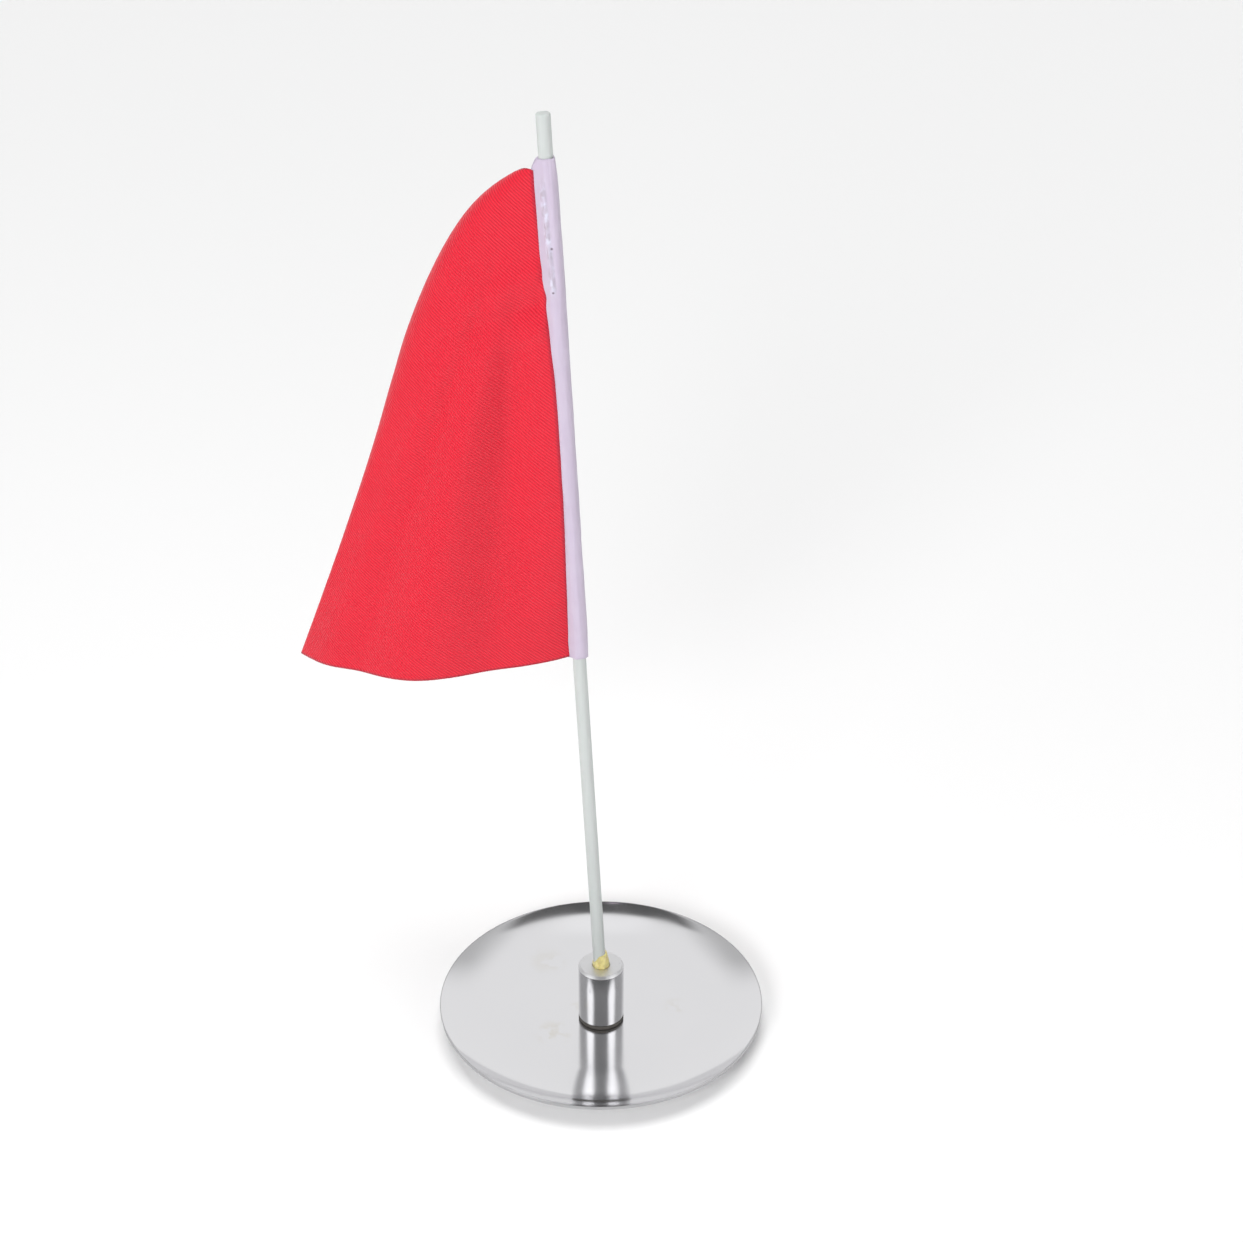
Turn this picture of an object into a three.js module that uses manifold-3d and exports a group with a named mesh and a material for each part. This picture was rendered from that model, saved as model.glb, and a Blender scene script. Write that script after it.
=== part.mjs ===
// A small flag on a stand: a dished sheet-steel base, a turned socket on a rubber washer,
// a thin fibreglass pole glued into the socket, and a cloth flag on a sewn sleeve.
//
// Millimetres, +Z up. The origin is where the base's axis meets the surface it stands on.
// The flag hangs towards -X, and its hollow side faces +Y.

import * as THREE from 'three';
import { mergeVertices } from 'three/addons/utils/BufferGeometryUtils.js';
import Module from 'manifold-3d';

// ---------------------------------------------------------------- driving dimensions

const TOTAL_HEIGHT = 300;
const BASE_DIAMETER = 105;

const BASE = {
  sheet: 1, // thickness of the steel
  rimHeight: 8.8, // top of the rim above the table
  floorRadius: 26, // flat floor out to here, and one arc from here to the rim
};

const STUD = {
  radius: 2, // M4, its thread left plain
  headRadius: 3.4,
  headHeight: 0.5, // pressed in flush with the underside of the sheet
  top: 7.4,
};

const WASHER = { bottom: 1.05, top: 2.35, radius: 7.35, boreRadius: 2.3 };

const SOCKET = {
  bottom: 2.4,
  top: 22.4,
  radius: 7.35,
  topChamfer: 0.7,
  bottomChamfer: 0.3,
  tappedRadius: 2.08, // running clearance on the stud
  boreRadius: 2.8, // wider than the pole, so that the pole leans in it
  boreFloor: 8,
};

const POLE = {
  radius: 2,
  lean: THREE.MathUtils.degToRad(3.03), // towards -X
  mouthOffset: -0.4, // its axis crosses the socket's mouth here, in x
  depth: 13.4, // how far it goes into the socket
  tipRound: 0.5,
};

const GLUE = {
  clearance: 0.1, // to the pole and to the bore
  bottom: 17.1,
  collarBottom: 22.8, // just over the socket's mouth
  collarTop: 25.8,
  collarTopRadius: 2.5,
};

// Heights from here on are along the pole, from the socket's mouth.
const SLEEVE = {
  bottom: 115,
  length: 151,
  innerRadius: 2.35,
  outerRadius: 2.7,
  tailEnd: -6.4, // the two cut edges of the strip, laid together behind the flag
  tailFront: 0.5,
  tailBack: 0.9,
  tailTopMargin: 13, // the tail is trimmed off here, below the flag's rolled corner
};

const SLEEVE_GLUE = {
  bottom: 229,
  length: 34,
  innerRadius: 2.05,
  outerRadius: 2.28,
  halfAngle: THREE.MathUtils.degToRad(28),
};

const PANEL = {
  bottom: 115.3,
  hoist: 148.2, // length of the edge along the sleeve
  fly: 88, // length of the edge across
  edge: -3.4, // where the hoist lies, in x
  thickness: 0.5,
  bulge: THREE.MathUtils.degToRad(32), // the cloth's swing to -Y at the bottom of the hoist
  turnBack: THREE.MathUtils.degToRad(47.2), // and its swing to +Y at the bottom corner
};

// The free upper corner has flopped over behind, so the cloth rolls over near its diagonal.
const ROLL = {
  crest: 12.8, // how far past the diagonal the roll's highest line stands
  tightRadius: 1.2, // at both ends of the diagonal
  wideRadius: 7.5, // at the roll's fullest
  rise: 0.83, // powers that set where along the diagonal it is fullest
  fall: 2.5,
  turn: THREE.MathUtils.degToRad(140), // from the front of the cloth to the corner behind
};

const SEAM = { x: -4.8, width: 0.6, front: 1.05, back: 1.4, bottomMargin: 3, length: 128 };

const ROUND = 72; // facets round the base
const SMALL_ROUND = 48; // facets round the socket and everything on it

// ---------------------------------------------------------------- materials

const steel = () => new THREE.MeshStandardMaterial({ color: 0xd6d6d8, roughness: 0.3, metalness: 1 });
const aluminium = () => new THREE.MeshStandardMaterial({ color: 0xdadadc, roughness: 0.22, metalness: 1 });
const rubber = () => new THREE.MeshStandardMaterial({ color: 0x3b3936, roughness: 0.8, metalness: 0 });
const fibreglass = () => new THREE.MeshStandardMaterial({ color: 0xd3dad6, roughness: 0.4, metalness: 0 });
const resin = () => new THREE.MeshStandardMaterial({ color: 0xcfc074, roughness: 0.3, metalness: 0 });
const redTwill = () => new THREE.MeshStandardMaterial({ color: 0xf03a4b, roughness: 0.6, metalness: 0 });
const satin = () => new THREE.MeshStandardMaterial({ color: 0xdccde4, roughness: 0.45, metalness: 0 });
const thread = () => new THREE.MeshStandardMaterial({ color: 0xeeeaf2, roughness: 0.7, metalness: 0 });

// ---------------------------------------------------------------- helpers

/** A solid of revolution about +Z from a closed outline of [radius, z] points. */
function turned(outline, facets) {
  const points = outline.map(([r, z]) => new THREE.Vector2(r, z));
  const closed = outline[0][0] > 0 || outline.at(-1)[0] > 0;
  if (closed) points.push(points[0].clone());
  return new THREE.LatheGeometry(points, facets).rotateX(Math.PI / 2);
}

function mesh(name, geometry, material) {
  const part = new THREE.Mesh(geometry, material);
  part.name = name;
  return part;
}

/** Points on a circular arc in the radius-height plane. */
function arc(centreR, centreZ, radius, from, to, steps) {
  return Array.from({ length: steps + 1 }, (_, i) => {
    const angle = from + ((to - from) * i) / steps;
    return [centreR + radius * Math.sin(angle), centreZ - radius * Math.cos(angle)];
  });
}

const wasm = await Module();
wasm.setup();

function toSolid(geometry) {
  const bare = geometry.clone();
  bare.deleteAttribute('normal');
  bare.deleteAttribute('uv');
  const merged = mergeVertices(bare, 1e-4);
  return new wasm.Manifold(new wasm.Mesh({
    numProp: 3,
    vertProperties: new Float32Array(merged.attributes.position.array),
    triVerts: new Uint32Array(merged.index.array),
  }));
}

function fromSolid(solid) {
  const { vertProperties, triVerts } = solid.getMesh();
  const geometry = new THREE.BufferGeometry();
  geometry.setAttribute('position', new THREE.BufferAttribute(new Float32Array(vertProperties), 3));
  geometry.setIndex(new THREE.BufferAttribute(new Uint32Array(triVerts), 1));
  geometry.computeVertexNormals();
  return geometry;
}

// ---------------------------------------------------------------- base

/** The dish: a flat floor that curves up to a plain rim, with a stepped hole for the stud. */
function baseDish() {
  const { sheet, rimHeight, floorRadius } = BASE;
  const steps = 10;
  const run = BASE_DIAMETER / 2 - floorRadius;
  const rise = rimHeight - sheet;
  const inside = (run * run + rise * rise) / (2 * rise); // radius of the wall's upper surface
  const tilt = Math.asin(run / inside);
  const centreZ = sheet + inside;
  const upper = arc(floorRadius, centreZ, inside, 0, tilt, steps);
  const rim = BASE_DIAMETER / 2 - 0.03; // the cut edge leans in under the rim, so this keeps it plumb
  const lowerTilt = Math.asin((rim - floorRadius) / (inside + sheet));
  const lower = arc(floorRadius, centreZ, inside + sheet, 0, lowerTilt, steps);

  const headSeatRadius = STUD.headRadius + 0.1;
  const headSeatTop = STUD.headHeight + 0.1;
  return turned([
    [WASHER.boreRadius, headSeatTop],
    [headSeatRadius, headSeatTop],
    [headSeatRadius, 0],
    ...lower,
    ...upper.reverse(),
    [WASHER.boreRadius, sheet],
  ], ROUND);
}

/** A flush-head stud, pressed into the dish from below. */
function baseStud() {
  const { radius, headRadius, headHeight, top } = STUD;
  const pointLength = 0.6;
  return turned([
    [0, 0],
    [headRadius, 0],
    [headRadius, headHeight],
    [radius, headHeight],
    [radius, top - pointLength],
    [radius - pointLength, top],
    [0, top],
  ], SMALL_ROUND);
}

function socketWasher() {
  const { bottom, top, radius, boreRadius } = WASHER;
  return turned([
    [boreRadius, bottom],
    [radius, bottom],
    [radius, top],
    [boreRadius, top],
  ], SMALL_ROUND);
}

// ---------------------------------------------------------------- post

/** The socket: tapped from below for the stud, bored from above for the pole. */
function poleSocket() {
  const { bottom, top, radius, topChamfer, bottomChamfer, tappedRadius, boreRadius, boreFloor } = SOCKET;
  return turned([
    [tappedRadius, bottom],
    [radius - bottomChamfer, bottom],
    [radius, bottom + bottomChamfer],
    [radius, top - topChamfer],
    [radius - topChamfer, top],
    [boreRadius, top],
    [boreRadius, boreFloor],
    [tappedRadius, boreFloor],
  ], SMALL_ROUND);
}

function flagPole() {
  const { radius, lean, depth, tipRound } = POLE;
  const cornerRise = (radius - tipRound) * Math.sin(lean);
  const top = (TOTAL_HEIGHT - SOCKET.top - cornerRise) / Math.cos(lean);
  return turned([
    [0, -depth],
    [radius, -depth],
    [radius, top - tipRound],
    [radius - 0.3 * tipRound, top - 0.3 * tipRound],
    [radius - tipRound, top],
    [0, top],
  ], SMALL_ROUND);
}

/** Resin that fills the mouth of the bore and climbs the pole on the side away from its lean. */
function poleAdhesive() {
  const { clearance, bottom, collarBottom, collarTop, collarTopRadius } = GLUE;
  const rodRadius = POLE.radius + clearance;
  const rodLength = 40; // longer than the resin, so that it cuts right through
  const plug = toSolid(turned([
    [0, bottom],
    [SOCKET.boreRadius - clearance, bottom],
    [SOCKET.boreRadius - clearance, collarBottom],
    [collarTopRadius, collarTop],
    [0, collarTop],
  ], SMALL_ROUND));
  const rod = new THREE.CylinderGeometry(rodRadius, rodRadius, rodLength, SMALL_ROUND)
    .rotateX(Math.PI / 2)
    .rotateY(-POLE.lean)
    .translate(POLE.mouthOffset, 0, SOCKET.top);
  return fromSolid(plug.subtract(toSolid(rod)));
}

// ---------------------------------------------------------------- flag

/** The sleeve: a tube of cloth round the pole, whose two cut edges lie together as a flat tail. */
function headerSleeve() {
  const { bottom, length, innerRadius, outerRadius, tailEnd, tailFront, tailBack, tailTopMargin } = SLEEVE;
  const tube = turned([
    [innerRadius, bottom],
    [outerRadius, bottom],
    [outerRadius, bottom + length],
    [innerRadius, bottom + length],
  ], SMALL_ROUND);
  const inTheWall = -(innerRadius + outerRadius) / 2;
  const tailLength = length - tailTopMargin;
  const tail = new THREE.BoxGeometry(inTheWall - tailEnd, tailBack - tailFront, tailLength)
    .translate((inTheWall + tailEnd) / 2, (tailFront + tailBack) / 2, bottom + tailLength / 2);
  return fromSolid(toSolid(tube).add(toSolid(tail)));
}

/** A flattened run of glue under the front of the sleeve, near its top. */
function sleeveGlue() {
  const { bottom, length, innerRadius, outerRadius, halfAngle } = SLEEVE_GLUE;
  const front = -Math.PI / 2;
  const outline = new THREE.Shape();
  outline.absarc(0, 0, outerRadius, front - halfAngle, front + halfAngle, false);
  outline.absarc(0, 0, innerRadius, front + halfAngle, front - halfAngle, true);
  outline.closePath();
  return new THREE.ExtrudeGeometry(outline, { depth: length, bevelEnabled: false, curveSegments: 10 })
    .translate(0, 0, bottom);
}

/**
 * Rolls the flat cloth over near the diagonal from the top of the hoist to the bottom of the fly.
 * Takes a point's distances from the hoist and from the top edge, and gives its place in the front's plane
 * and its depth behind it.
 */
function rolled(fromHoist, fromTop) {
  const { hoist, fly } = PANEL;
  const { crest, tightRadius, wideRadius, rise, fall, turn } = ROLL;
  const diagonal = Math.hypot(fly, hoist);
  const alongX = fly / diagonal;
  const alongZ = hoist / diagonal;
  const along = fromHoist * alongX + fromTop * alongZ;
  const beyond = fromHoist * alongZ - fromTop * alongX;

  const hump = (share) => share ** rise * (1 - share) ** fall;
  const share = THREE.MathUtils.clamp(along / diagonal, 0, 1);
  const fullness = hump(share) / hump(rise / (rise + fall));
  const radius = THREE.MathUtils.lerp(tightRadius, wideRadius, fullness);
  const start = crest * fullness - radius;
  const angle = THREE.MathUtils.clamp((beyond - start) / radius, 0, turn);
  const straight = Math.max(beyond - start - radius * turn, 0);
  const out = angle > 0 ? start + radius * Math.sin(angle) + straight * Math.cos(turn) : beyond;
  return {
    across: along * alongX + out * alongZ,
    down: along * alongZ - out * alongX,
    behind: radius * (1 - Math.cos(angle)) + straight * Math.sin(turn),
  };
}

/** Arches the front's plane towards -Y, more towards the bottom, and carries what lies behind it along. */
function arched({ across, down, behind }) {
  const { hoist, fly, bottom, edge, bulge, turnBack } = PANEL;
  const share = Math.max(down / hoist, 0);
  const leaves = bulge * share;
  const frontWidth = fly * share + 4; // the 4 mm keeps the narrow top from curling up
  const bend = Math.max((bulge + turnBack) * share, 1e-6) / frontWidth;
  const heading = leaves - bend * across;
  return new THREE.Vector3(
    edge - (Math.sin(leaves) - Math.sin(heading)) / bend - behind * Math.sin(heading),
    (Math.cos(leaves) - Math.cos(heading)) / bend + behind * Math.cos(heading),
    bottom + hoist - down,
  );
}

/** The flag: a flat rectangle of cloth, moved point by point to where it hangs. */
function flagPanel() {
  const { hoist, fly, thickness } = PANEL;
  const hung = (fromHoist, fromTop) => arched(rolled(fromHoist, fromTop));
  const sheet = new THREE.BoxGeometry(fly, thickness, hoist, 30, 1, 40);
  const { position } = sheet.attributes;
  const step = 0.05;
  for (let i = 0; i < position.count; i += 1) {
    const fromHoist = fly / 2 - position.getX(i);
    const fromTop = hoist / 2 - position.getZ(i);
    const place = hung(fromHoist, fromTop);
    const acrossStep = hung(fromHoist + step, fromTop).sub(place);
    const downStep = hung(fromHoist, fromTop + step).sub(place);
    const backwards = downStep.cross(acrossStep).normalize();
    place.addScaledVector(backwards, position.getY(i));
    position.setXYZ(i, place.x, place.y, place.z);
  }
  sheet.computeVertexNormals();
  return sheet;
}

/** The row of thread that holds the flag's turned edge to the sleeve's tail. */
function headerSeam() {
  const { x, width, front, back, bottomMargin, length } = SEAM;
  return new THREE.BoxGeometry(width, back - front, length)
    .translate(x, (front + back) / 2, PANEL.bottom + bottomMargin + length / 2);
}

// ---------------------------------------------------------------- assembly

const base = new THREE.Group();
base.add(
  mesh('base_dish', baseDish(), steel()),
  mesh('base_stud', baseStud(), steel()),
  mesh('socket_washer', socketWasher(), rubber()),
);

const leaning = new THREE.Group();
leaning.position.set(POLE.mouthOffset, 0, SOCKET.top);
leaning.rotation.y = -POLE.lean;
leaning.add(
  mesh('flag_pole', flagPole(), fibreglass()),
  mesh('header_sleeve', headerSleeve(), satin()),
  mesh('sleeve_glue', sleeveGlue(), resin()),
  mesh('flag_panel', flagPanel(), redTwill()),
  mesh('header_seam', headerSeam(), thread()),
);

const post = new THREE.Group();
post.add(
  mesh('pole_socket', poleSocket(), aluminium()),
  mesh('pole_adhesive', poleAdhesive(), resin()),
  leaning,
);

const stand = new THREE.Group();
stand.add(base, post);

export default stand;
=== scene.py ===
# A small red flag on a stand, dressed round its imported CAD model.
#
# Sizes are in millimetres here and become metres when a mesh is made. The pole and everything on it are
# modelled upright, with heights measured from the socket's mouth, and then leaned over by LEANING.

import math

import bpy
from mathutils import Matrix, Vector, noise


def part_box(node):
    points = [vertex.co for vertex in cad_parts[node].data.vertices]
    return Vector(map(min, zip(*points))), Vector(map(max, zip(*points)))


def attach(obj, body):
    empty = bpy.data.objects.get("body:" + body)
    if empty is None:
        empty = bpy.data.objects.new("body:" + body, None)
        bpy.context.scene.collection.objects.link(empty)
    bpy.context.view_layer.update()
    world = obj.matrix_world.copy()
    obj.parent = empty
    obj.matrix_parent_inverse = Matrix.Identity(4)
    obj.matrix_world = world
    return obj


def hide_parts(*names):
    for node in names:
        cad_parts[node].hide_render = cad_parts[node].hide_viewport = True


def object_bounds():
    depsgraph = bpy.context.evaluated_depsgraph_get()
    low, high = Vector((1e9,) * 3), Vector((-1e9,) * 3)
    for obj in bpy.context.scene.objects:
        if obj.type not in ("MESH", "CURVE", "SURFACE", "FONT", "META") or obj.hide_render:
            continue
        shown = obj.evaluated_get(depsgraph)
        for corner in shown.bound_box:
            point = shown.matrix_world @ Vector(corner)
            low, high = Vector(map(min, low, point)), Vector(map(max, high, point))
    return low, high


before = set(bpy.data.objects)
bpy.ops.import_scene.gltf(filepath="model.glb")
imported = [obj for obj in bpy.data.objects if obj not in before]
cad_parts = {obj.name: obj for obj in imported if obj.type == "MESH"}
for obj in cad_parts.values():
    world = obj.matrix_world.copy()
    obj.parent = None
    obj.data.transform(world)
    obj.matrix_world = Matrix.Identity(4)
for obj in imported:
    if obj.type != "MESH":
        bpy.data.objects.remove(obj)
cad_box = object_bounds()

MM = 0.001

# ---------------------------------------------------------------- driving dimensions


def node_box(name):
    """The lowest and highest corner of a CAD node, in millimetres."""
    return [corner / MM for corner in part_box(name)]


DISH_HIGH = node_box("base_dish")[1]
WASHER_LOW, WASHER_HIGH = node_box("socket_washer")
SOCKET_LOW, SOCKET_HIGH = node_box("pole_socket")
STUD_HIGH = node_box("base_stud")[1]

BASE = {
    "radius": DISH_HIGH.x,
    "rim_height": DISH_HIGH.z,
    "sheet": 1.0,
    "floor_radius": 26.0,
    "hole_radius": 2.3,
    "seat_radius": 3.5,  # for the stud's flush head
    "seat_top": 0.6,
}
STUD = {"radius": 2.0, "root_radius": 1.62, "pitch": 0.7, "head_radius": 3.4, "head_height": 0.5}
SOCKET = {
    "top_chamfer": 0.7,
    "bottom_chamfer": 0.3,
    "bore_radius": 2.8,
    "bore_floor": 8.0,
    "tapped_radius": 2.08,
}
FILL = {"foot": -5.2, "low_climb": 1.5, "high_climb": 4.5}  # from the socket's mouth

POLE = {"radius": 2.0, "depth": 13.4, "tip_round": 0.55}
LEAN = math.radians(3.03)
MOUTH = Vector((-0.4, 0.0, SOCKET_HIGH.z))
LEANING = Matrix.Translation(MOUTH * MM) @ Matrix.Rotation(-LEAN, 4, "Y")
TIP_DROP = 0.08  # keeps the high side of the leaned tip inside the CAD's height
POLE_TOP = (cad_box[1].z / MM - MOUTH.z) / math.cos(LEAN) - TIP_DROP

SLEEVE = {
    "bottom": 115.0,
    "length": 151.0,
    "centre": 0.25,  # of the loose tube, in x, from the pole's axis
    "radius": 2.6,
    "join": Vector((-4.6, 0.6)),  # where its two layers part to go round the pole
    "tail_end": -6.4,
    "trim": 13.0,  # how far the tail's end slopes down from the tube's
    "cloth": 0.2,
}

SLEEVE_GLUE = {"bottom": 229.0, "length": 34.0, "half_angle": math.radians(26)}

PANEL = {
    "bottom": 115.3,
    "hoist": 148.2,
    "fly": 88.0,
    "edge": -3.4,
    "cloth": 0.24,
    "bulge": math.radians(32.0),
    "turn_back": math.radians(47.2),
    "hem": 5.0,  # width of the hoist's turned edge
}

# The free upper corner has flopped over behind, so the cloth rolls over near its diagonal.
ROLL = {
    "crest": 12.8,
    "tight_radius": 1.2,
    "wide_radius": 7.5,
    "rise": 0.83,
    "fall": 2.5,
    "turn": math.radians(140.0),
}

# Soft tension folds that fan out from the hoist's top: angle in degrees, depth and width in degrees.
FAN = ((18, 2.6, 3.6), (9.5, -2.2, 3.6), (27, 0.9, 2.0), (23.5, -0.9, 1.8))

# Puckers at the hoist: distance from the top, depth, and how far each fades into the cloth.
PUCKERS = ((28, 1.3, 12), (36, -1.5, 15), (44, 1.0, 13), (97, -0.35, 14), (128, 0.35, 12))

# Glue that soaked through has set the sleeve's front into a wrinkled ridge.
RIDGE = {"top": 259.0, "bottom": 229.5, "top_x": -1.3, "bottom_x": -0.3, "rise": 0.60, "width": 0.42}

GLUE_MARKS = ((-0.3, 229.4), (0.1, 241.7))  # two pinholes in the glued ridge, painted as dark spots of shade: x and height

# Dried drops on the dish: x, y, radius, and how strongly each shows.
DROPS = ((-15.5, -8.5, 7.5, 1.0), (24.5, 5.0, 6.0, 0.5), (-18.5, 28.0, 8.0, 0.5), (-8.0, 5.0, 3.0, 0.5))

YARN = 0.36  # from one of the twill's yarns to the next
WALE = 3 * YARN
# CUT_EDGE is also the width of the painted shade along the cloth's edges.
CUT_EDGE = 0.8  # width of the twill's hot-cut edge
SATIN_PITCH = 0.34

SEAM = {"x": -4.8, "bottom_margin": 3.0, "length": 128.0, "pitch": 3.2, "thread": 0.13}

CAMERA = {
    "elevation": math.radians(28.73),
    "roll": math.radians(0.28),
    "distance": 620.0,
    "target": Vector((6.06, 0.0, 148.86)),
    "lens": 60.91,
    "sensor": 36.0,
}

KEY = {"size": 320.0, "watts": 4.6, "place": Vector((-290, -800, 480)), "aim": Vector((-30, 0, 180))}
OVERHEAD = {"strength": 1.75, "angle": math.radians(40)}
LAMP_SHARE = 0.55  # how much of the tent's light on matt surfaces the lamps replace
SKY_SEEN = 0.9  # what the camera sees past the floor, near the floor's own tone
FLOOR_HALF = 30000  # half the floor's width

ON_AXIS = 1e-6  # a smaller radius than this counts as none


# ---------------------------------------------------------------- small helpers


def clamp(value, low=0.0, high=1.0):
    return max(low, min(high, value))


def smooth(low, high, value):
    share = clamp((value - low) / (high - low))
    return share * share * (3 - 2 * share)


def mix(first, second, share):
    return first + (second - first) * share


def bell(value, centre, width):
    """1 at the centre, and fading to nothing about twice the width away."""
    return math.exp(-(((value - centre) / width) ** 2))


def lumps(*place):
    """Smooth noise from -1 to 1."""
    return noise.noise(Vector(place))


# ---------------------------------------------------------------- mesh helpers


def make_mesh(name, points, faces, material, uvs=None, crease=40):
    """An object from points in millimetres; uvs, where given, has one flat position for each point."""
    mesh = bpy.data.meshes.new(name)
    mesh.from_pydata([Vector(point) * MM for point in points], [], faces)
    if uvs:
        layer = mesh.uv_layers.new(name="cloth")
        for loop in mesh.loops:
            layer.data[loop.index].uv = uvs[loop.vertex_index]
    mesh.shade_smooth()
    mesh.set_sharp_from_angle(angle=math.radians(crease))
    mesh.materials.append(material)
    piece = bpy.data.objects.new(name, mesh)
    bpy.context.scene.collection.objects.link(piece)
    return piece


def grid_faces(columns, rows, wrap=False):
    """Quads of a grid whose points run along each row in turn; wrap joins the last column to the first."""
    across = columns if wrap else columns - 1
    return [
        (
            row * columns + column,
            row * columns + (column + 1) % columns,
            (row + 1) * columns + (column + 1) % columns,
            (row + 1) * columns + column,
        )
        for row in range(rows - 1)
        for column in range(across)
    ]


def turned(name, outline, material, segments=128, uneven=None, crease=40):
    """A body of revolution about Z from (radius, height) points that run anticlockwise, seen with +Z up.

    uneven(x, y, z), where given, moves each point, which makes pressed or hand-worked surfaces.
    """
    points = []
    rings = []
    for radius, height in outline:
        if radius < ON_AXIS:
            rings.append([len(points)])
            points.append(Vector((0, 0, height)))
            continue
        rings.append(list(range(len(points), len(points) + segments)))
        for step in range(segments):
            angle = 2 * math.pi * step / segments
            points.append(Vector((radius * math.cos(angle), radius * math.sin(angle), height)))
    if outline[0][0] > ON_AXIS:
        rings.append(rings[0])
    faces = []
    for lower, upper in zip(rings, rings[1:]):
        for step in range(segments):
            after = (step + 1) % segments
            if len(lower) == 1:
                faces.append((lower[0], upper[after], upper[step]))
            elif len(upper) == 1:
                faces.append((lower[step], lower[after], upper[0]))
            else:
                faces.append((lower[step], lower[after], upper[after], upper[step]))
    if uneven:
        points = [uneven(*point) for point in points]
    return make_mesh(name, points, faces, material, crease=crease)


def softened(outline, radius, steps=4):
    """The outline with each corner off the axis rounded."""
    soft = []
    count = len(outline)
    for index, (r, z) in enumerate(outline):
        here = Vector((r, z))
        before = Vector(outline[index - 1])
        after = Vector(outline[(index + 1) % count])
        if r < ON_AXIS:
            soft.append((r, z))
            continue
        reach = min(radius, (before - here).length * 0.45, (after - here).length * 0.45)
        start = here + (before - here).normalized() * reach
        end = here + (after - here).normalized() * reach
        for step in range(steps + 1):
            share = step / steps
            point = start * (1 - share) ** 2 + here * 2 * share * (1 - share) + end * share**2
            soft.append((point.x, point.y))
    return soft


def arc(centre, radius, start, end, steps):
    """Points on an arc in the radius-height plane; angle 0 is straight down from the centre."""
    angles = [mix(start, end, step / steps) for step in range(steps + 1)]
    return [(centre[0] + radius * math.sin(a), centre[1] - radius * math.cos(a)) for a in angles]


def thickened(piece, thickness):
    """Gives a sheet its thickness, half to each side, and applies it."""
    modifier = piece.modifiers.new("thickness", "SOLIDIFY")
    modifier.thickness = thickness * MM
    modifier.offset = 0.0
    modifier.use_even_offset = False
    bpy.context.view_layer.update()
    evaluated = piece.evaluated_get(bpy.context.evaluated_depsgraph_get())
    mesh = bpy.data.meshes.new_from_object(evaluated)
    piece.modifiers.clear()
    piece.data = mesh
    return piece


def leaned(piece):
    """Carries a piece from upright to the pole's lean."""
    piece.data.transform(LEANING)
    return piece


def on_body(piece, body, slot, *nodes):
    """Rides on a body and stands for its CAD nodes, which it hides; its slot is not used."""
    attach(piece, body)
    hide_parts(*nodes)
    return piece


# ---------------------------------------------------------------- material helpers


def feed(tree, socket, value):
    """Links a socket to the socket that drives it, or sets its value."""
    if isinstance(value, bpy.types.NodeSocket):
        tree.links.new(value, socket)
    else:
        socket.default_value = value


def node(tree, kind, inputs=None, **settings):
    """Adds a shader node; inputs gives each socket a value or the socket that drives it."""
    made = tree.nodes.new("ShaderNode" + kind)
    for name, value in settings.items():
        setattr(made, name, value)
    for name, value in (inputs or {}).items():
        feed(tree, made.inputs[name], value)
    return made


def maths(tree, operation, first, second=0.0, third=0.0):
    made = node(tree, "Math", {0: first, 1: second, 2: third}, operation=operation)
    return made.outputs[0]


def hypotenuse(tree, first, second):
    """The root of the sum of two squares."""
    first_square = maths(tree, "MULTIPLY", first, first)
    second_square = maths(tree, "MULTIPLY", second, second)
    return maths(tree, "SQRT", maths(tree, "ADD", first_square, second_square))


def ramp(tree, value, low, high, from_low=0.0, from_high=1.0):
    """Maps a value smoothly from one range to another, and holds it there."""
    inputs = {
        "Value": value,
        "From Min": from_low,
        "From Max": from_high,
        "To Min": low,
        "To Max": high,
    }
    return node(tree, "MapRange", inputs, interpolation_type="SMOOTHSTEP").outputs[0]


def blend_colours(tree, share, first, second):
    return node(tree, "Mix", {0: share, 6: first, 7: second}, data_type="RGBA").outputs[2]


def grain(tree, place, scale, detail=2.0, stretch=(1, 1, 1)):
    """Noise from 0 to 1, with scale lumps to the metre."""
    sized = node(tree, "Mapping", {"Vector": place, "Scale": stretch}).outputs[0]
    inputs = {"Vector": sized, "Scale": scale, "Detail": detail}
    return node(tree, "TexNoise", inputs).outputs["Fac"]


def bump(tree, height, depth, strength=1.0):
    """A normal from a height of 0 to 1 that stands for depth millimetres."""
    inputs = {"Height": height, "Distance": depth * MM, "Strength": strength}
    return node(tree, "Bump", inputs).outputs[0]


def rgb(red, green, blue):
    return (red, green, blue, 1.0)


def new_material(name):
    material = bpy.data.materials.new(name)
    material.use_nodes = True
    tree = material.node_tree
    shader = tree.nodes["Principled BSDF"]
    place = node(tree, "TexCoord").outputs["Object"]
    return material, tree, shader, place


def drive(tree, shader, **sockets):
    """Links or sets the shader's sockets; an underscore in a name stands for a space."""
    for name, value in sockets.items():
        feed(tree, shader.inputs[name.replace("_", " ")], value)


# ---------------------------------------------------------------- materials


def spot(tree, place, x, y, radius):
    """1 inside a soft round spot on the dish's floor, and 0 away from it."""
    centre = Vector((x, y, BASE["sheet"])) * MM
    away = node(tree, "VectorMath", {0: place, 1: centre}, operation="DISTANCE").outputs["Value"]
    return ramp(tree, away, 1.0, 0.0, 0.25 * radius * MM, radius * MM)


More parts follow.
